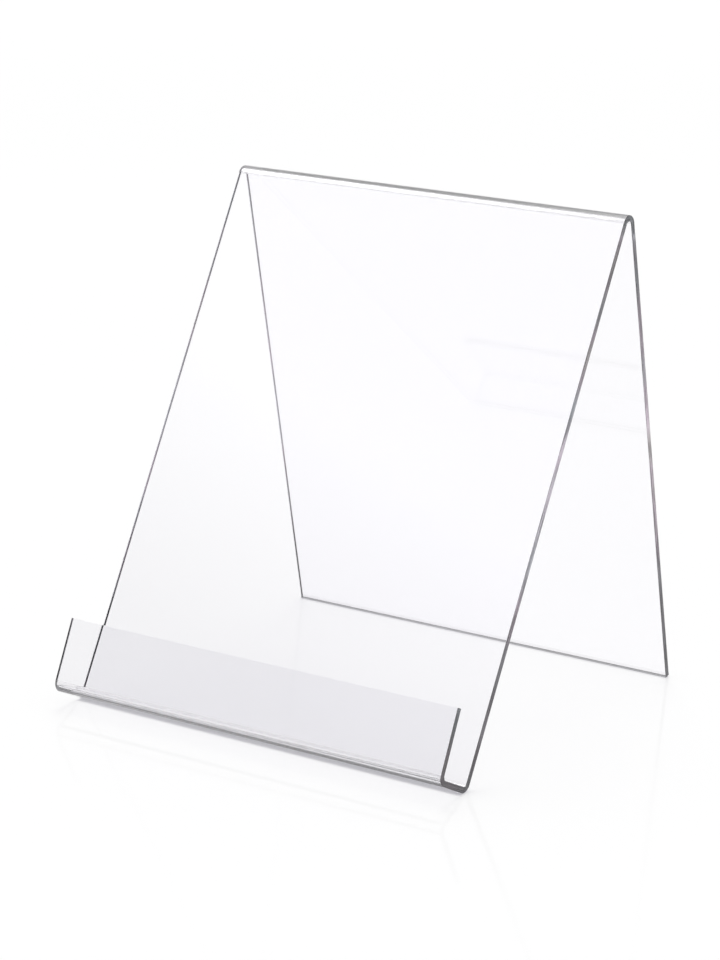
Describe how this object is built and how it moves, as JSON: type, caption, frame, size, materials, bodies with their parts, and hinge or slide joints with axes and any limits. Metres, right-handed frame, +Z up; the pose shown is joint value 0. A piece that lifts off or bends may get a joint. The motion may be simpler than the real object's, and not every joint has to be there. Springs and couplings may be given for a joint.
{
  "type": "book stand",
  "caption": "Clear acrylic book easel bent from one sheet: leaning rest panel, rear leg, book ledge and low front lip.",
  "frame": {"origin": "centre of the stand's own box, on the table plane that the ledge bend and the leg's end rest on", "axes": "+X along the bends, towards the right as seen from the front; +Y from the front lip towards the rear leg; +Z up"},
  "size_m": [0.225, 0.2124, 0.2457],
  "materials": {
    "clear_acrylic": "polished"
  },
  "bodies": {
    "root": {"acrylic_sheet": "clear_acrylic"}
  },
  "joints": []
}
